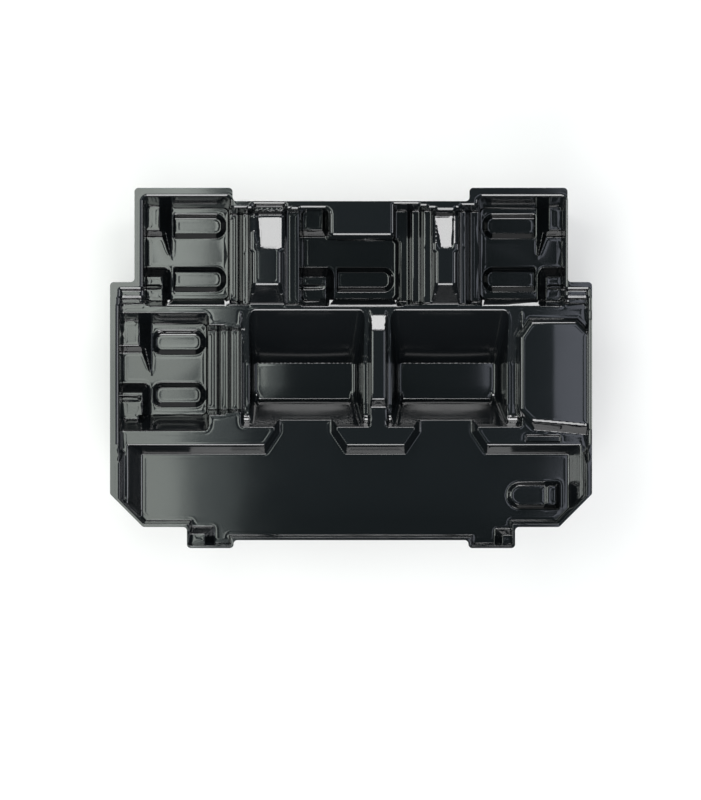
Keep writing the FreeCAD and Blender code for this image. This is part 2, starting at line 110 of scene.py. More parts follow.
class Shade(Enum):
    """Colours of the finishes, as sRGB hex values."""

    BLACK_SHEET = "#0d0f11"
    TABLE = "#e6e6e4"


@dataclass(frozen=True)
class GlossPolystyrene:
    """High-impact polystyrene, vacuum formed: near black, with a hot-rolled high gloss.

    The roll leaves a faint orange peel, and drawing the sheet leaves long soft ripples, so
    the lamps' reflections waver a little and lose their edges.
    """

    colour: Shade = Shade.BLACK_SHEET
    ior: float = 1.59
    roughness: float = 0.10
    ripple_mm: float = 26.0         # length of the soft ripples
    ripple_height_mm: float = 0.05
    peel_mm: float = 2.4            # grain of the orange peel
    peel_height_mm: float = 0.004

    def material(self) -> bpy.types.Material:
        """Build the node material.

        Returns:
            The finished material.
        """
        made = bpy.data.materials.new("gloss_polystyrene_black")
        made.use_nodes = True
        tree = made.node_tree
        tree.nodes.clear()
        place = add_node(tree, "ShaderNodeTexCoord").outputs["Object"]
        ripple = add_node(tree, "ShaderNodeTexNoise",
                          {"Vector": place, "Scale": 1 / (self.ripple_mm * MM),
                           "Detail": 1.0, "Roughness": 0.4})
        peel = add_node(tree, "ShaderNodeTexNoise",
                        {"Vector": place, "Scale": 1 / (self.peel_mm * MM), "Detail": 1.0})
        soft = add_node(tree, "ShaderNodeBump",
                        {"Height": ripple.outputs[0], "Strength": 1.0,
                         "Distance": self.ripple_height_mm * MM})
        fine = add_node(tree, "ShaderNodeBump",
                        {"Height": peel.outputs[0], "Strength": 1.0,
                         "Distance": self.peel_height_mm * MM, "Normal": soft.outputs[0]})
        haze = add_node(tree, "ShaderNodeMapRange",
                        {"Value": ripple.outputs[0], "To Min": self.roughness * 0.85,
                         "To Max": self.roughness * 1.2})
        shader = add_node(tree, "ShaderNodeBsdfPrincipled",
                          {"Base Color": linear(self.colour.value), "IOR": self.ior,
                           "Roughness": haze.outputs[0], "Normal": fine.outputs[0]})
        add_node(tree, "ShaderNodeOutputMaterial", {"Surface": shader.outputs[0]})
        return made


@dataclass
class Draping:
    """Geometry Nodes tree that lets a level net fall onto the moulded skin."""

    pitch_mm: float = 0.5
    margin_mm: float = 4.0          # net beyond the trimmed edge
    drop_mm: float = 200.0

    def tree(self) -> bpy.types.NodeTree:
        """Build the tree: a grid whose points drop straight down to the input mesh.

        Returns:
            The node group, with named inputs for the net's size.
        """
        group = bpy.data.node_groups.new("drape_net", "GeometryNodeTree")
        face = group.interface
        face.new_socket("Geometry", in_out="INPUT", socket_type="NodeSocketGeometry")
        for name in ("Length", "Depth", "Start Height", "Resting Height"):
            face.new_socket(name, in_out="INPUT", socket_type="NodeSocketFloat")
        for name in ("Points Along", "Points Across"):
            face.new_socket(name, in_out="INPUT", socket_type="NodeSocketInt")
        face.new_socket("Material", in_out="INPUT", socket_type="NodeSocketMaterial")
        face.new_socket("Geometry", in_out="OUTPUT", socket_type="NodeSocketGeometry")
        given = add_node(group, "NodeGroupInput").outputs
        net = add_node(group, "GeometryNodeMeshGrid",
                       {"Size X": given["Length"], "Size Y": given["Depth"],
                        "Vertices X": given["Points Along"],
                        "Vertices Y": given["Points Across"]})
        where = add_node(group, "GeometryNodeInputPosition")
        parts = add_node(group, "ShaderNodeSeparateXYZ", {0: where.outputs[0]})
        above = add_node(group, "ShaderNodeCombineXYZ",
                         {0: parts.outputs[0], 1: parts.outputs[1],
                          2: given["Start Height"]})
        ray = add_node(group, "GeometryNodeRaycast",
                       {"Target Geometry": given["Geometry"],
                        "Source Position": above.outputs[0],
                        "Ray Direction": (0.0, 0.0, -1.0),
                        "Ray Length": self.drop_mm * MM})
        rest = add_node(group, "ShaderNodeCombineXYZ",
                        {0: parts.outputs[0], 1: parts.outputs[1],
                         2: given["Resting Height"]})
        landed = add_node(group, "GeometryNodeSwitch",
                          {"Switch": ray.outputs["Is Hit"], "False": rest.outputs[0],
                           "True": ray.outputs["Hit Position"]}, input_type="VECTOR")
        moved = add_node(group, "GeometryNodeSetPosition",
                         {"Geometry": net.outputs[0], "Position": landed.outputs[0]})
        real = add_node(group, "GeometryNodeRealizeInstances", {0: moved.outputs[0]})
        dressed = add_node(group, "GeometryNodeSetMaterial",
                           {"Geometry": real.outputs[0], "Material": given["Material"]})
        add_node(group, "NodeGroupOutput", {0: dressed.outputs[0]})
        return group

    def heights(self, skin: bpy.types.Object, material: bpy.types.Material) -> "HeightNet":
        """Drape the net over the skin and read its heights.

        Args:
            skin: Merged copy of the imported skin.
            material: The finish that the tree sets.

        Returns:
            The draped net in millimetres.
        """
        low = Vector(map(min, zip(*[v.co for v in skin.data.vertices])))
        high = Vector(map(max, zip(*[v.co for v in skin.data.vertices])))
        half_x = math.ceil((max(-low.x, high.x) / MM + self.margin_mm) / self.pitch_mm)
        half_y = math.ceil((max(-low.y, high.y) / MM + self.margin_mm) / self.pitch_mm)
        count_x, count_y = 2 * half_x + 1, 2 * half_y + 1
        values = {"Length": 2 * half_x * self.pitch_mm * MM,
                  "Depth": 2 * half_y * self.pitch_mm * MM,
                  "Start Height": high.z + 20 * MM, "Resting Height": high.z,
                  "Points Along": count_x, "Points Across": count_y, "Material": material}
        modifier = skin.modifiers.new("drape", "NODES")
        modifier.node_group = self.tree()
        for item in modifier.node_group.interface.items_tree:
            if item.in_out == "INPUT" and item.name in values:
                modifier[item.identifier] = values[item.name]
        seen = skin.evaluated_get(bpy.context.evaluated_depsgraph_get())
        mesh = bpy.data.meshes.new_from_object(seen)
        skin.modifiers.remove(modifier)
        points = np.empty(len(mesh.vertices) * 3, np.float32)
        mesh.vertices.foreach_get("co", points)
        bpy.data.meshes.remove(mesh)
        points = points.reshape(count_x, count_y, 3).astype(np.float64) / MM
        return HeightNet(points[:, 0, 0], points[0, :, 1], points[:, :, 2])


@dataclass
class HeightNet:
    """Heights of the sheet on a regular net, in millimetres, first index along X."""

    x: np.ndarray
    y: np.ndarray
    z: np.ndarray

    @property
    def pitch(self) -> float:
        """Distance between two lines of the net.

        Returns:
            The distance in millimetres.
        """
        return float(self.x[1] - self.x[0])

    def _lowest(self, field: np.ndarray, radius: float) -> np.ndarray:
        """Height at which a ball that rolls below the field touches it, by its centre.

        Args:
            field: Heights.
            radius: Radius of the ball.

        Returns:
            The field of the ball's lowered surface.
        """
        reach = int(radius / self.pitch)
        padded = np.pad(field, reach, mode="edge")
        found = np.full_like(field, np.inf)
        nx, ny = field.shape
        for i in range(-reach, reach + 1):
            for j in range(-reach, reach + 1):
                gap = radius ** 2 - (i * i + j * j) * self.pitch ** 2
                if gap < 0:
                    continue
                part = padded[reach + i:reach + i + nx, reach + j:reach + j + ny]
                np.minimum(found, part - math.sqrt(gap), out=found)
        return found

    def window(self, x0: float, x1: float, y0: float, y1: float
               ) -> tuple[np.ndarray, np.ndarray, np.ndarray]:
        """Part of the net, for changes in place.

        Args:
            x0: Left side.
            x1: Right side.
            y0: Front side.
            y1: Back side.

        Returns:
            A live view of the heights, and the places of its points along X and Y.
        """
        i0, i1 = np.searchsorted(self.x, (x0, x1))
        j0, j1 = np.searchsorted(self.y, (y0, y1))
        gx, gy = np.meshgrid(self.x[i0:i1], self.y[j0:j1], indexing="ij")
        return self.z[i0:i1, j0:j1], gx, gy

    def round_rims(self, wide: float, narrow: float, level: float, front: float) -> None:
        """Round every convex edge, as a ball rolled along below the sheet leaves it.

        Args:
            wide: Radius of the high rims behind the bench.
            narrow: Radius of all other edges.
            level: Height from which a rim is high.
            front: Where the bench begins, along Y.
        """
        both = [-self._lowest(-self._lowest(self.z, r), r) for r in (wide, narrow)]
        high = (self.z > level) & (self.y[None, :] > front)
        self.z = np.where(high, *both)

    def round_feet(self, radius: float) -> None:
        """Round every concave edge, as a ball rolled along on the sheet leaves it.

        Args:
            radius: Radius of the ball.
        """
        lowered = self._lowest(-self.z, radius)
        self.z = self._lowest(-lowered, radius)

    def blurred(self, sigma: float) -> np.ndarray:
        """Gaussian mean of the heights.

        Args:
            sigma: Spread in millimetres.

        Returns:
            The blurred field.
        """
        steps = sigma / self.pitch
        reach = max(1, int(3 * steps))
        weights = np.exp(-0.5 * (np.arange(-reach, reach + 1) / steps) ** 2)
        weights /= weights.sum()
        field = self.z
        for axis in (0, 1):
            pad = [(reach, reach) if a == axis else (0, 0) for a in (0, 1)]
            wide = np.pad(field, pad, mode="edge")
            size = field.shape[axis]
            mean = np.zeros_like(field)
            for k, w in enumerate(weights):
                mean += w * np.take(wide, range(k, k + size), axis=axis)
            field = mean
        return field

    def soften(self, sigma: float, keep: float) -> None:
        """Blend out facets and faint creases, and leave real edges as they are.

        Args:
            sigma: Spread of the blur in millimetres.
            keep: Change of height past which an edge is kept.
        """
        mean = self.blurred(sigma)
        change = np.abs(mean - self.z) / keep
        weight = 1.0 - np.clip(change, 0.0, 1.0) ** 2
        self.z[...] = self.z * (1 - weight) + mean * weight


def rounded_box(gx: np.ndarray, gy: np.ndarray, box: tuple[float, float, float, float],
                radius: float) -> np.ndarray:
    """Distance from a rounded rectangle, negative inside.

    Args:
        gx: Places of the points along X.
        gy: Places of the points along Y.
        box: Left, right, front and back side.
        radius: Radius of the corners.

    Returns:
        The distances.
    """
    x0, x1, y0, y1 = box
    qx = np.abs(gx - (x0 + x1) / 2) - (x1 - x0) / 2 + radius
    qy = np.abs(gy - (y0 + y1) / 2) - (y1 - y0) / 2 + radius
    outside = np.hypot(np.maximum(qx, 0), np.maximum(qy, 0))
    return outside + np.minimum(np.maximum(qx, qy), 0) - radius


@dataclass(frozen=True)
class BayDetail:
    """What the mould adds in one bay: rounded grooves, swept pads and a web.

    Places along the bay are measured from the wall at its rail strip.
    """

    x_end: float
    side: int                               # +1 when the steps are on the right
    y_front: float
    pad: float                              # length of the back pad's top
    groove: tuple[float, float]             # start and end of the grooves
    grooves: tuple[float, ...]              # their middles from the bay's middle
    scoop: tuple[float, float]              # scoop across the front pad: middle and half width
    has_web: bool = True
    pad_run: float = 0.65                   # of the back pad's side, per mm of height
    open_end: bool = True                   # the grooves run out at the strip
    width: float = 70.6
    floor: float = 4.0
    pad_top: float = 18.0
    foot: float = 2.3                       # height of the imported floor's round foot
    groove_half: float = 9.75
    groove_slope: float = 4.0
    groove_depth: float = 2.6
    groove_corner: float = 8.4
    groove_lead: float = 12.0               # run of an open groove past its start
    groove_reach: float = 11.0              # net looked at from a groove's middle
    level_band: float = 0.5                 # above the floor, still taken as floor
    top_band: float = 0.3                   # above a pad, still taken as pad
    pad_inset: float = 17.2                 # pads' inner sides from the bay's walls
    pad_room: float = 11.0                  # net beyond a pad along the bay
    pad_margin: float = 9.0                 # net beyond a pad towards the middle
    pad_wall: float = 18.5                  # net beyond the back pad's inner side
    back_fall: float = 0.35                 # run of the back pad's inner side
    front_more: float = 2.5                 # front pad's extra length
    front_run: float = 0.42                 # runs of the front pad's two sides
    front_fall: float = 0.5
    scoop_depth: float = 1.3
    scoop_fade: int = 4                     # power by which a scoop fades along its pad
    web_reach: float = 23.0
    web_width: float = 9.0
    web_start: float = 4.0
    web_drift: float = 0.215                # sideways run of the web's crest
    web_run: float = 0.65
    web_face: float = 4.0                   # fall of the web's steep face

    def window(self, net: HeightNet, d0: float, d1: float, y0: float, y1: float
               ) -> tuple[np.ndarray, np.ndarray, np.ndarray]:
        """Part of the net, by distances along the bay.

        Args:
            net: The heights.
            d0: Start along the bay.
            d1: End along the bay.
            y0: Front side.
            y1: Back side.

        Returns:
            The live heights, the distances along the bay and the places along Y.
        """
        ends = sorted(self.x_end + self.side * d for d in (d0, d1))
        view, gx, gy = net.window(ends[0], ends[1], y0, y1)
        return view, (gx - self.x_end) * self.side, gy

    def level_feet(self, net: HeightNet) -> None:
        """Bring the floor up to its walls with a tight foot.

        Args:
            net: The heights, changed in place.
        """
        view, _, _ = self.window(net, -1, 70, self.y_front - 1, self.y_front + self.width + 1)
        view[view < self.floor + self.foot] = self.floor

    def carve_grooves(self, net: HeightNet) -> None:
        """Carve the grooves with full round ends.

        Args:
            net: The heights, changed in place.
        """
        start, end = self.groove
        middle = self.y_front + self.width / 2
        for offset in self.grooves:
            y = middle + offset
            view, d, gy = self.window(net, start, end + 1, y - self.groove_reach,
                                      y + self.groove_reach)
            left = start - self.groove_lead if self.open_end else start
            box = (left, end, y - self.groove_half, y + self.groove_half)
            depth = -rounded_box(d, gy, box, self.groove_corner) / self.groove_slope
            carved = self.floor - self.groove_depth * np.clip(depth, 0, 1)
            low = view < self.floor + self.level_band
            view[low] = carved[low]

    def sweep_pads(self, net: HeightNet) -> None:
        """Give the rail pads their swept corners.

        Args:
            net: The heights, changed in place.
        """
        back = self.y_front + self.width - self.pad_inset
        front = self.y_front + self.pad_inset
        strip = self.pad + self.pad_room
        view, d, gy = self.window(net, -1, strip, back - self.pad_margin,
                                  back + self.pad_wall)
        beyond = np.maximum(d - self.pad, 0) / self.pad_run
        pad = self.pad_top - np.hypot(beyond, np.maximum(back - gy, 0) / self.back_fall)
        low = view < self.pad_top + self.top_band
        view[low] = np.clip(pad, self.floor, self.pad_top)[low]
        view, d, gy = self.window(net, -1, strip, self.y_front - 1,
                                  front + self.pad_margin)
        beyond = np.maximum(d - self.pad - self.front_more, 0) / self.front_run
        pad = self.pad_top - np.hypot(beyond, np.maximum(gy - front, 0) / self.front_fall)
        pad = np.clip(pad, self.floor, self.pad_top)
        across = np.clip(1 - ((gy - self.y_front - self.scoop[0]) / self.scoop[1]) ** 2, 0, 1)
        along = np.clip(1 - (d / (self.pad + self.front_more)) ** self.scoop_fade, 0, 1)
        low = view < self.pad_top + self.top_band
        view[low] = (pad - self.scoop_depth * across * along)[low]

    def raise_web(self, net: HeightNet) -> None:
        """Raise the web that the sheet pulls from the back pad's corner.

        Args:
            net: The heights, changed in place.
        """
        start = self.y_front + self.width - self.pad_inset
        view, d, gy = self.window(net, self.pad, self.pad + self.web_width,
                                  start - self.web_reach, start)
        crest = self.pad + self.web_start + (start - gy) * self.web_drift
        web = (self.pad_top - (d - self.pad) / self.web_run
               - self.web_face * np.maximum(crest - d, 0))
        np.maximum(view, np.clip(web, self.floor, self.pad_top), out=view)

    def build(self, net: HeightNet) -> None:
        """Work all the details into the net.

        Args:
            net: The heights, changed in place.
        """
        self.level_feet(net)
        self.carve_grooves(net)
        self.sweep_pads(net)
        if self.has_web:
            self.raise_web(net)


@dataclass(frozen=True)
class MouldDetail:
    """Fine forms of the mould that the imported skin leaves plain."""

    bays: tuple[BayDetail, ...] = (
        BayDetail(-159.5, 1, 54.2, 10.0, (18.7, 61.8), (21.5, -20.2), (9.1, 1.6)),
        BayDetail(164.6, -1, 54.2, 10.0, (18.7, 61.8), (21.5, -20.2), (9.1, 1.6)),
        BayDetail(-178.6, 1, -36.2, 13.2, (22.5, 64.8), (21.1, -20.1), (12.2, 2.4),
                  open_end=False),
        BayDetail(-37.0, 1, 54.2, 15.0, (19.0, 70.5), (-20.5,), (9.1, 1.6), has_web=False,
                  pad_run=0.3, open_end=False),
    )
    ridge_z: float = 50.0
    rim_z: float = 69.0
    lip_back: float = 53.4                  # lips that lead from the ridge into the rear bays
    lip_front: float = 48.0
    lip_fall: float = 0.65
    lips: tuple[tuple[float, float], ...] = ((-144.3, -94.4), (-18.0, 36.5), (102.0, 148.0))
    # saddles: window, back end, and the slope's sides at the back and at the front
    saddles: tuple[tuple[float, ...], ...] = (
        (-79.5, -47.5, 121.9, -72.6, -51.4, -70.6, -55.4),
        (63.2, 84.2, 120.7, 66.0, 79.4, 70.0, 78.4))
    saddle_top: float = 92.6
    saddle_foot: float = 117.4
    saddle_fall: float = 0.27
    saddle_lead: float = 3.0                # net before a saddle's top
    saddle_side: float = 1.5                # rise of a saddle's sides
    saddle_base: float = 3.0                # above the ridge, where a saddle begins
    shoulders: tuple[tuple[float, float], ...] = ((-84.5, 13.6), (28.6, 132.1))
    shoulder_z: float = 40.0
    shoulder_run: tuple[float, float] = (-46.0, -26.5)
    shoulder_power: int = 4
    packed_slope: float = 1.95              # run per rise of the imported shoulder's front
    packed_band: float = 0.6
    middle_rib: tuple[float, float, float, float] = (12.0, 31.0, -41.0, -24.2)
    middle_rib_z: float = 57.5
    middle_rib_fall: float = 1.19
    cradles: tuple[tuple[float, float], ...] = ((-77.8, 4.5), (35.3, 114.9))
    cradle_floors: tuple[tuple[float, float], ...] = ((-73.0, -0.4), (40.2, 110.0))
    floor_z: float = 1.0
    floor_end: float = -24.0
    front_run: tuple[float, float] = (-29.0, -14.0)
    front_rise: float = 0.78
    front_bend: float = 0.237
    crown_inset: float = 2.0
    crown_run: tuple[float, float] = (-30.0, 45.0)
    crown_back: float = 41.0                # lengths over which the bulge fades
    crown_front: float = 17.0
    crown: float = 1.1                      # the cradle floors bulge a little

    plateau: tuple[float, float, float, float] = (130.0, 188.0, -48.0, 38.0)
    plateau_level: float = 65.5
    plateau_fold: float = 157.6
    plateau_fall: float = 0.012
    bench_z: float = 38.0
    stadium_window: tuple[float, float, float, float] = (119.0, 156.0, -112.0, -87.0)
    stadium: tuple[float, float, float, float] = (124.8, 180.0, -106.9, -92.0)
    stadium_radius: float = 7.44
    stadium_rise: float = 3.0
    stadium_end: float = 147.0

    def fill_lips(self, net: HeightNet) -> None:
        """Slant the ridge's back edge where it leads into a rear bay.

        Args:
            net: The heights, changed in place.
        """
        for x0, x1 in self.lips:
            view, _, gy = net.window(x0, x1, self.lip_front, self.lip_back)
            np.maximum(view, self.ridge_z - (gy - self.lip_front) * self.lip_fall, out=view)

    def slope_saddles(self, net: HeightNet) -> None:
        """Fill the saddles to gently sloping channels, which fingers slide along.

        Args:
            net: The heights, changed in place.
        """
        run = self.saddle_foot - self.saddle_top
        foot = self.rim_z - run * self.saddle_fall
        for x0, x1, back, *sides in self.saddles:
            view, gx, gy = net.window(x0, x1, self.saddle_top - self.saddle_lead, back)
            down = np.clip(gy - self.saddle_top, -self.saddle_lead, run)
            share = down / run
            left = sides[2] + (sides[0] - sides[2]) * share
            right = sides[3] + (sides[1] - sides[3]) * share
            aside = np.maximum(np.maximum(left - gx, gx - right), 0)
            slope = self.rim_z - down * self.saddle_fall + self.saddle_side * aside
            slope = np.clip(slope, foot, self.rim_z)
            low = (view > self.ridge_z + self.saddle_base) & (view < slope)
            view[low] = slope[low]

    def end_cradle_floors(self, net: HeightNet) -> None:
        """End the cradle floors in a crease and a steepening front.

        Args:
            net: The heights, changed in place.
        """
        for x0, x1 in self.cradle_floors:
            view, _, gy = net.window(x0, x1, *self.front_run)
            run = np.maximum(self.floor_end - gy, 0)
            front = self.floor_z + self.front_rise * run + self.front_bend * run ** 2
            np.minimum(view, front, out=view)

    def turn_shoulders(self, net: HeightNet) -> None:
        """Turn the shoulders up late and steeply at their front.

        Args:
            net: The heights, changed in place.
        """
        start, end = self.shoulder_run
        for x0, x1 in self.shoulders:
            view, _, gy = net.window(x0, x1, start, end)
            run = end - gy
            packed = self.shoulder_z + run / self.packed_slope
            plain = np.abs(view - packed) < self.packed_band
            share = run / (end - start)
            climb = (self.ridge_z - self.shoulder_z) * share ** self.shoulder_power
            view[plain] = (self.shoulder_z + climb)[plain]

    def steepen_middle_rib(self, net: HeightNet) -> None:
        """Let the middle rib end in a steep front.

        Args:
            net: The heights, changed in place.
        """
        view, _, gy = net.window(*self.middle_rib)
        front = self.middle_rib_z - (self.middle_rib[3] - gy) * self.middle_rib_fall
        np.minimum(view, np.maximum(front, self.ridge_z), out=view)

    def crown_cradles(self, net: HeightNet) -> None:
        """Bulge the cradle floors, as a large flat of thin sheet does when it cools.

        Args:
            net: The heights, changed in place.
        """
        start, end = self.crown_run
        for x0, x1 in self.cradles:
            left, right = x0 + self.crown_inset, x1 - self.crown_inset
            view, gx, gy = net.window(left, right, start, end)
            u = (gx - (x0 + x1) / 2) / ((x1 - x0) / 2 - self.crown_inset)
            back = np.clip((end - gy) / self.crown_back, 0, 1)
            front = np.clip((gy - start) / self.crown_front, 0, 1)
            view += self.crown * (1 - u ** 2) * np.minimum(back, front)

    def fold_plateau(self, net: HeightNet) -> None:
        """Fold the plateau faintly along its middle.

        Args:
            net: The heights, changed in place.
        """
        view, gx, _ = net.window(*self.plateau)
        top = view > self.plateau_level
        view[top] -= self.plateau_fall * np.abs(gx[top] - self.plateau_fold)

    def round_stadium(self, net: HeightNet) -> None:
        """Give the raised stadium on the bench its full round left end.

        Args:
            net: The heights, changed in place.
        """
        view, gx, gy = net.window(*self.stadium_window)
        shape = rounded_box(gx, gy, self.stadium, self.stadium_radius)
        raised = self.bench_z + np.clip(self.stadium_rise - shape, 0.0, self.stadium_rise)
        end = gx < self.stadium_end
        view[end] = raised[end]

    def build(self, net: HeightNet) -> None:
        """Work all the details into the net, before its edges are rounded.

        Args:
            net: The heights, changed in place.
        """
        for bay in self.bays:
            bay.build(net)
        self.fill_lips(net)
        self.slope_saddles(net)
        self.end_cradle_floors(net)
        self.turn_shoulders(net)
        self.steepen_middle_rib(net)
        self.fold_plateau(net)
        self.round_stadium(net)


def trimmed_edge(skin: bpy.types.Object, wall_mm: float) -> np.ndarray:
    """Find the outline that the sheet is trimmed to.

    Args:
        skin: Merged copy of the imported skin.
        wall_mm: Wall of the sheet, which is the height of the cut edge.

    Returns:
        Pairs of end points of the outline's pieces, in millimetres.
    """
    mesh = skin.data
    top = max(v.co.z for v in mesh.vertices)
    low = top - wall_mm * MM * 1.05
    pairs = []
    for polygon in mesh.polygons:
        points = [mesh.vertices[i].co for i in polygon.vertices]
        if abs(polygon.normal.z) > 0.01 or min(p.z for p in points) < low:
            continue
        level = [p for p in points if p.z > top - 1e-5]
        if len(level) == 2:
            pairs.append([[p.x / MM, p.y / MM] for p in level])
    return np.array(pairs)


def nearest_on(pairs: np.ndarray, points: np.ndarray) -> tuple[np.ndarray, np.ndarray]:
    """Nearest place on a set of straight pieces.

    Args:
        pairs: End points of the pieces.
        points: Points to place.

    Returns:
        The nearest places and the distances to them.
    """
    start, along = pairs[:, 0], pairs[:, 1] - pairs[:, 0]
    square = (along ** 2).sum(1)
    best = np.full(len(points), np.inf)
    place = np.array(points)
    for a, d, s in zip(start, along, square):
        if s < 1e-12:
            continue
        t = np.clip(((points - a) @ d) / s, 0.0, 1.0)
        foot = a + t[:, None] * d
        gap = np.hypot(*(points - foot).T)
        closer = gap < best
        best[closer] = gap[closer]
        place[closer] = foot[closer]
    return place, best


def corner_normals(net: "HeightNet", points: np.ndarray, faces: np.ndarray,
                   normals: np.ndarray, inward_mm: float = 0.9, crease: float = 0.992,
                   largest_share: float = 0.6) -> np.ndarray:
    """Normals of the triangles' corners, which don't bleed over a crease.

    Args:
        net: The rounded heights.
        points: Points in metres.
        faces: Triangles.
        normals: Normals at the points.
        inward_mm: How far inside a triangle its side of a crease is read.
        crease: Cosine of the turn from which a corner lies on a crease.
        largest_share: How far towards the triangle's middle that step may go.

    Returns:
        Three normals per triangle.
    """
    spots = points[faces]
    ways = spots.mean(axis=1, keepdims=True) - spots
    length = np.linalg.norm(ways, axis=2, keepdims=True)
    step = np.minimum(largest_share, inward_mm * MM / np.maximum(length, 1e-9))
    inner = smooth_normals(net, (spots + ways * step).reshape(-1, 3)).reshape(spots.shape)
    own = normals[faces]
    turned = (inner * own).sum(axis=2, keepdims=True) < crease
    return np.where(turned, inner, own)


@dataclass
class FormedSheet:
    """The whole tray: one drawn sheet with an even wall and soft edges."""

    wall_mm: float = 1.0
    rim_radius_mm: float = 3.4      # high rims round the bays
    edge_radius_mm: float = 0.7     # all other edges
    foot_radius_mm: float = 0.8
    rim_level_mm: float = 60.0      # rims above it are high
    bench_back_mm: float = -60.0    # and lie behind this place along Y
    facet_blur_mm: float = 1.6
    facet_keep_mm: float = 0.16
    triangles: int = 98000          # of the upper side

    def skin(self, node: bpy.types.Object) -> bpy.types.Object:
        """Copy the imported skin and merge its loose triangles.

        Args:
            node: The CAD node.

        Returns:
            The merged copy.
        """
        mesh = node.data.copy()
        made = bmesh.new()
        made.from_mesh(mesh)
        bmesh.ops.remove_doubles(made, verts=made.verts, dist=1e-6)
        made.to_mesh(mesh)
        made.free()
        copy = bpy.data.objects.new("packed_skin", mesh)
        bpy.context.collection.objects.link(copy)
        return copy

    def net_mesh(self, net: HeightNet, edge: np.ndarray) -> bpy.types.Mesh:
        """Cut the net to the trimmed edge and write it as a mesh.

        Args:
            net: The rounded heights.
            edge: Pieces of the trimmed edge.

        Returns:
            The upper side of the sheet.
        """
        nx, ny = net.z.shape
        inside = inside_of(edge, net.x, net.y)
        kept = inside.copy()
        kept[1:, :] |= inside[:-1, :]
        kept[:-1, :] |= inside[1:, :]
        grown = kept.copy()
        grown[:, 1:] |= kept[:, :-1]
        grown[:, :-1] |= kept[:, 1:]
        gx, gy = np.meshgrid(net.x, net.y, indexing="ij")
        border = grown & ~inside
        flat = np.stack([gx[border], gy[border]], axis=1)
        place, _ = nearest_on(edge, flat)
        gx[border], gy[border] = place[:, 0], place[:, 1]
        z = net.z.copy()
        z[border] = net.z.max()
        cell = inside[:-1, :-1] | inside[1:, :-1] | inside[:-1, 1:] | inside[1:, 1:]
        index = np.full((nx, ny), -1)
        index[grown] = np.arange(grown.sum())
        corners = [index[:-1, :-1], index[1:, :-1], index[1:, 1:], index[:-1, 1:]]
        faces = np.stack([c[cell] for c in corners], axis=1)
        points = np.stack([gx[grown], gy[grown], z[grown]], axis=1) * MM
        mesh = bpy.data.meshes.new("net")
        mesh.vertices.add(len(points))
        mesh.vertices.foreach_set("co", points.astype(np.float32).ravel())
        mesh.loops.add(faces.size)
        mesh.loops.foreach_set("vertex_index", faces.astype(np.int32).ravel())
        mesh.polygons.add(len(faces))
        mesh.polygons.foreach_set("loop_start", np.arange(0, faces.size, 4, dtype=np.int32))
        mesh.update(calc_edges=True)
        mesh.validate()
        return mesh

    def thinned(self, mesh: bpy.types.Mesh) -> tuple[np.ndarray, np.ndarray]:
        """Collapse what is flat, so that the edges keep their density.

        Args:
            mesh: The upper side as a full net.

        Returns:
            Points in metres and triangles.
        """
        thing = bpy.data.objects.new("net", mesh)
        bpy.context.collection.objects.link(thing)
        modifier = thing.modifiers.new("thin", "DECIMATE")
        modifier.ratio = self.triangles / (2 * len(mesh.polygons))
        seen = thing.evaluated_get(bpy.context.evaluated_depsgraph_get())
        thin = bpy.data.meshes.new_from_object(seen)
        thin.calc_loop_triangles()
        points = np.empty(len(thin.vertices) * 3, np.float32)
        thin.vertices.foreach_get("co", points)
        faces = np.empty(len(thin.loop_triangles) * 3, np.int32)
        thin.loop_triangles.foreach_get("vertices", faces)
        bpy.data.objects.remove(thing)
        return points.reshape(-1, 3).astype(np.float64), faces.reshape(-1, 3)

    def wall(self, points: np.ndarray, faces: np.ndarray, normals: np.ndarray,
             corners: np.ndarray) -> bpy.types.Mesh:
        """Give the upper side its even wall, closed at the cut edge.

        Args:
            points: Upper side in metres.
            faces: Its triangles.
            normals: Its smooth normals.
            corners: Normals of the triangles' corners.

        Returns:
            The closed sheet.
        """
        count = len(points)
        under = np.clip(points - normals * self.wall_mm * MM, *np.array(cad_box))
        sides = np.concatenate([faces[:, [0, 1]], faces[:, [1, 2]], faces[:, [2, 0]]])
        key = np.sort(sides, axis=1)
        _, first, times = np.unique(key, axis=0, return_index=True, return_counts=True)
        rim = sides[first[times == 1]]
        strip_a = np.stack([rim[:, 1], rim[:, 0], rim[:, 0] + count], axis=1)
        strip_b = np.stack([rim[:, 1], rim[:, 0] + count, rim[:, 1] + count], axis=1)
        whole = np.concatenate([faces, faces[:, ::-1] + count, strip_a, strip_b])
        mesh = bpy.data.meshes.new("formed_sheet")
        mesh.from_pydata(np.concatenate([points, under]).tolist(), [], whole.tolist())
        mesh.update()
        across = points[rim[:, 1]] - points[rim[:, 0]]
        out = np.stack([across[:, 1], -across[:, 0], np.zeros(len(rim))], axis=1)
        out /= np.maximum(np.linalg.norm(out, axis=1), 1e-12)[:, None]
        corner = np.concatenate([corners.reshape(-1, 3),
                                 -corners[:, ::-1].reshape(-1, 3),
                                 np.repeat(out, 3, axis=0), np.repeat(out, 3, axis=0)])
        mesh.shade_smooth()
        mesh.normals_split_custom_set(corner.tolist())
        return mesh

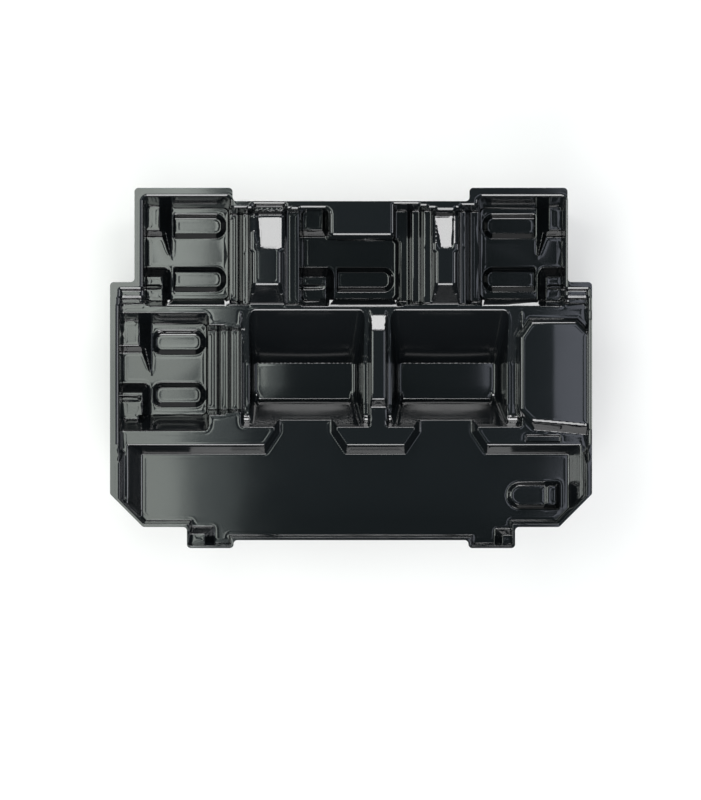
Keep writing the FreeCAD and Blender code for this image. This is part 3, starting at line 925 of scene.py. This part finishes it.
    def build(self, node: bpy.types.Object, material: bpy.types.Material
              ) -> bpy.types.Object:
        """Make the dressed sheet.

        Args:
            node: The CAD node that it stands for.
            material: Its finish.

        Returns:
            The finished piece.
        """
        skin = self.skin(node)
        net = Draping().heights(skin, material)
        edge = trimmed_edge(skin, self.wall_mm)
        bpy.data.objects.remove(skin)
        log.info("net %s, trimmed edge of %d pieces", net.z.shape, len(edge))
        detail = MouldDetail()
        detail.build(net)
        net.round_rims(self.rim_radius_mm, self.edge_radius_mm, self.rim_level_mm,
                       self.bench_back_mm)
        net.round_feet(self.foot_radius_mm)
        net.soften(self.facet_blur_mm, self.facet_keep_mm)
        detail.crown_cradles(net)
        points, faces = self.thinned(self.net_mesh(net, edge))
        points = np.clip(points, *np.array(cad_box))
        normals = smooth_normals(net, points)
        mesh = self.wall(points, faces, normals,
                         corner_normals(net, points, faces, normals))
        mesh.materials.append(material)
        piece = bpy.data.objects.new("formed_sheet", mesh)
        bpy.context.collection.objects.link(piece)
        log.info("formed sheet of %d triangles", len(mesh.polygons))
        return piece


def inside_of(edge: np.ndarray, x: np.ndarray, y: np.ndarray) -> np.ndarray:
    """Which points of a net lie inside a closed outline.

    Args:
        edge: Pieces of the outline.
        x: Places of the net's lines along X.
        y: Places of the net's lines along Y.

    Returns:
        True where the point lies inside.
    """
    crossings = np.zeros((len(x), len(y)), int)
    for (ax, ay), (bx, by) in edge:
        if ay == by:
            continue
        rows = (y > min(ay, by)) & (y <= max(ay, by))
        cut = ax + (y[rows] - ay) / (by - ay) * (bx - ax)
        crossings[:, rows] += x[:, None] < cut[None, :] - 1e-6
    return crossings % 2 == 1


def smooth_normals(net: HeightNet, points: np.ndarray) -> np.ndarray:
    """Normals of the rounded sheet at given points.

    Args:
        net: The rounded heights.
        points: Points on the sheet in metres.

    Returns:
        Unit normals that point up.
    """
    slope_x, slope_y = np.gradient(net.z, net.pitch)
    fx = (points[:, 0] / MM - net.x[0]) / net.pitch
    fy = (points[:, 1] / MM - net.y[0]) / net.pitch
    i = np.clip(fx.astype(int), 0, net.z.shape[0] - 2)
    j = np.clip(fy.astype(int), 0, net.z.shape[1] - 2)
    u, v = fx - i, fy - j
    normal = np.ones((len(points), 3))
    for axis, slope in enumerate((slope_x, slope_y)):
        low = slope[i, j] * (1 - u) + slope[i + 1, j] * u
        high = slope[i, j + 1] * (1 - u) + slope[i + 1, j + 1] * u
        normal[:, axis] = -(low * (1 - v) + high * v)
    return normal / np.linalg.norm(normal, axis=1)[:, None]


@dataclass(frozen=True)
class Softbox:
    """A rectangular studio lamp behind a diffuser."""

    name: str
    place: tuple[float, float, float]       # metres
    aim: tuple[float, float, float]
    size: tuple[float, float]               # metres
    radiance: float
    tint: tuple[float, float, float] = (1.0, 1.0, 1.0)

    def build(self) -> bpy.types.Object:
        """Hang the lamp and turn it to its aim.

        Returns:
            The lamp.
        """
        lamp = bpy.data.lights.new(self.name, "AREA")
        lamp.shape = "RECTANGLE"
        lamp.size, lamp.size_y = self.size
        lamp.color = self.tint
        lamp.energy = self.radiance * math.pi * self.size[0] * self.size[1]
        made = bpy.data.objects.new(self.name, lamp)
        made.location = self.place
        look = Vector(self.aim) - Vector(self.place)
        made.rotation_euler = look.to_track_quat("-Z", "Y").to_euler()
        made.visible_camera = False
        bpy.context.collection.objects.link(made)
        return made


@dataclass
class Studio:
    """Pale table, soft lamps and the camera that looks straight down."""

    table_size: float = 8.0
    view_height: float = 0.624              # metres that the picture's long side shows
    camera_height: float = 24.0
    camera_reach: float = 50.0
    sensor_mm: float = 36.0
    rim_height: float = 0.069               # level at which the picture's scale holds
    room_tint: tuple[float, float, float, float] = (0.7, 0.93, 1.0, 1.0)
    glow_share: float = 0.5                 # of the table top, so that it shows white
    aim: tuple[float, float] = (-0.0004, -0.025)
    ambient: float = 0.14
    lamps: tuple[Softbox, ...] = (
        Softbox("back_softbox", (0.0, 1.14, 0.52), (0.0, 0.0, 0.05), (0.62, 0.36), 12.0),
        Softbox("rib_softbox", (0.008, 0.306, 0.412), (0.008, 0.105, 0.066), (0.25, 0.08),
                12.0),
        Softbox("front_softbox", (0.0, -0.9, 0.66), (0.0, 0.0, 0.05), (0.5, 0.98), 9.0),
        Softbox("left_softbox", (-1.1, 0.0, 0.5), (0.0, 0.0, 0.05), (0.5, 0.5), 6.0,
                (0.95, 1.0, 0.96)),
        Softbox("right_softbox", (1.1, 0.0, 0.5), (0.0, 0.0, 0.05), (0.5, 0.5), 4.5,
                (0.93, 0.95, 1.0)),
        Softbox("upper_left_panel", (-0.285, -0.1, 0.7), (-0.285, -0.1, 0.0), (0.3, 0.24),
                3.6, (0.93, 1.0, 0.93)),
        Softbox("back_left_panel", (-0.265, 0.19, 0.7), (-0.265, 0.19, 0.0), (0.3, 0.34),
                4.4, (0.93, 1.0, 0.93)),
        Softbox("left_fringe", (-0.118, 0.05, 0.701), (-0.118, 0.05, 0.0), (0.06, 0.6),
                0.9, (0.85, 0.97, 0.95)),
        Softbox("upper_right_panel", (0.26, -0.03, 0.7), (0.26, -0.03, 0.0), (0.18, 0.5),
                1.7, (0.82, 0.86, 1.0)),
    )

    def table(self) -> bpy.types.Object:
        """Lay the white table top, which keeps the tray's soft shadow.

        Returns:
            The table top.
        """
        half = self.table_size / 2
        mesh = bpy.data.meshes.new("table_top")
        mesh.from_pydata([(-half, -half, 0), (half, -half, 0), (half, half, 0),
                          (-half, half, 0)], [], [(0, 1, 2, 3)])
        made = bpy.data.materials.new("table_white_lacquer")
        made.use_nodes = True
        tree = made.node_tree
        tree.nodes.clear()
        path = add_node(tree, "ShaderNodeLightPath").outputs
        seen = add_node(tree, "ShaderNodeMath",
                        {0: path["Is Camera Ray"], 1: path["Is Glossy Ray"]},
                        operation="MAXIMUM")
        seen = add_node(tree, "ShaderNodeMath",
                        {0: seen.outputs[0], 1: path["Is Transmission Ray"]},
                        operation="MAXIMUM")
        plain = add_node(tree, "ShaderNodeBsdfDiffuse",
                         {"Color": linear(Shade.TABLE.value)})
        glow = add_node(tree, "ShaderNodeEmission",
                        {"Color": (1.0, 1.0, 1.0, 1.0), "Strength": 1.0})
        half_glow = add_node(tree, "ShaderNodeMixShader",
                             {0: self.glow_share, 1: plain.outputs[0], 2: glow.outputs[0]})
        mixed = add_node(tree, "ShaderNodeMixShader",
                         {0: seen.outputs[0], 1: plain.outputs[0], 2: half_glow.outputs[0]})
        add_node(tree, "ShaderNodeOutputMaterial", {"Surface": mixed.outputs[0]})
        mesh.materials.append(made)
        top = bpy.data.objects.new("table_top", mesh)
        bpy.context.collection.objects.link(top)
        return top

    def world(self) -> None:
        """Fill the room with a dim even light."""
        world = bpy.data.worlds.new("studio_room")
        bpy.context.scene.world = world
        world.use_nodes = True
        tree = world.node_tree
        tree.nodes.clear()
        room = add_node(tree, "ShaderNodeBackground",
                        {"Color": self.room_tint, "Strength": self.ambient})
        add_node(tree, "ShaderNodeOutputWorld", {"Surface": room.outputs[0]})

    def camera(self) -> bpy.types.Object:
        """Hang the camera far above the tray, with a long lens.

        Returns:
            The camera.
        """
        lens = bpy.data.cameras.new("camera")
        lens.sensor_width = self.sensor_mm
        distance = self.camera_height - self.rim_height
        lens.lens = self.sensor_mm * distance / self.view_height
        lens.clip_end = self.camera_reach
        made = bpy.data.objects.new("camera", lens)
        made.location = (*self.aim, self.camera_height)
        bpy.context.collection.objects.link(made)
        bpy.context.scene.camera = made
        return made

    def build(self) -> None:
        """Set up the table, the light and the camera."""
        self.table()
        self.world()
        for lamp in self.lamps:
            lamp.build()
        self.camera()
        bpy.context.scene.view_settings.view_transform = "Standard"
        log.info("studio with %d lamps", len(self.lamps))


def main() -> None:
    """Dress the tray and set up the studio."""
    material = GlossPolystyrene().material()
    piece = FormedSheet().build(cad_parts["tray"], material)
    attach(piece, "root")
    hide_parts("tray")
    Studio().build()


if __name__ == "__main__":
    main()
